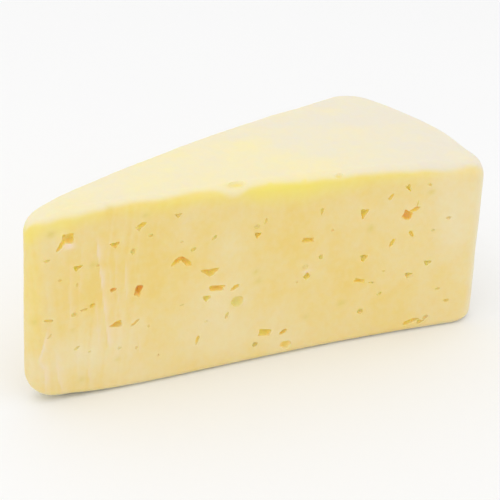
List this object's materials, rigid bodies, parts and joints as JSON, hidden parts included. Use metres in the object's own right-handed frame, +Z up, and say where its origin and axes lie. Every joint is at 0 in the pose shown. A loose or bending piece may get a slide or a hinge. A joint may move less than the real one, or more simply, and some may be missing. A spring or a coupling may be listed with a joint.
{
  "type": "cheese wedge",
  "caption": "Wedge cut from a round semi-hard cheese: narrow point, curved rim, pale cream top and yellow cut faces with small irregular openings.",
  "frame": {"origin": "on the surface that the wedge stands on, half way between its point and its rim", "axes": "+Z up, +X from the point to the rim, the cut faces look to -Y and +Y"},
  "size_m": [0.1603, 0.0704, 0.0646],
  "materials": {
    "cheese_paste": "waxy, slightly moist cut paste, warm pale yellow, cream on the top, rim and underside"
  },
  "bodies": {
    "root": {"cheese_wedge": "cheese_paste"}
  },
  "joints": []
}
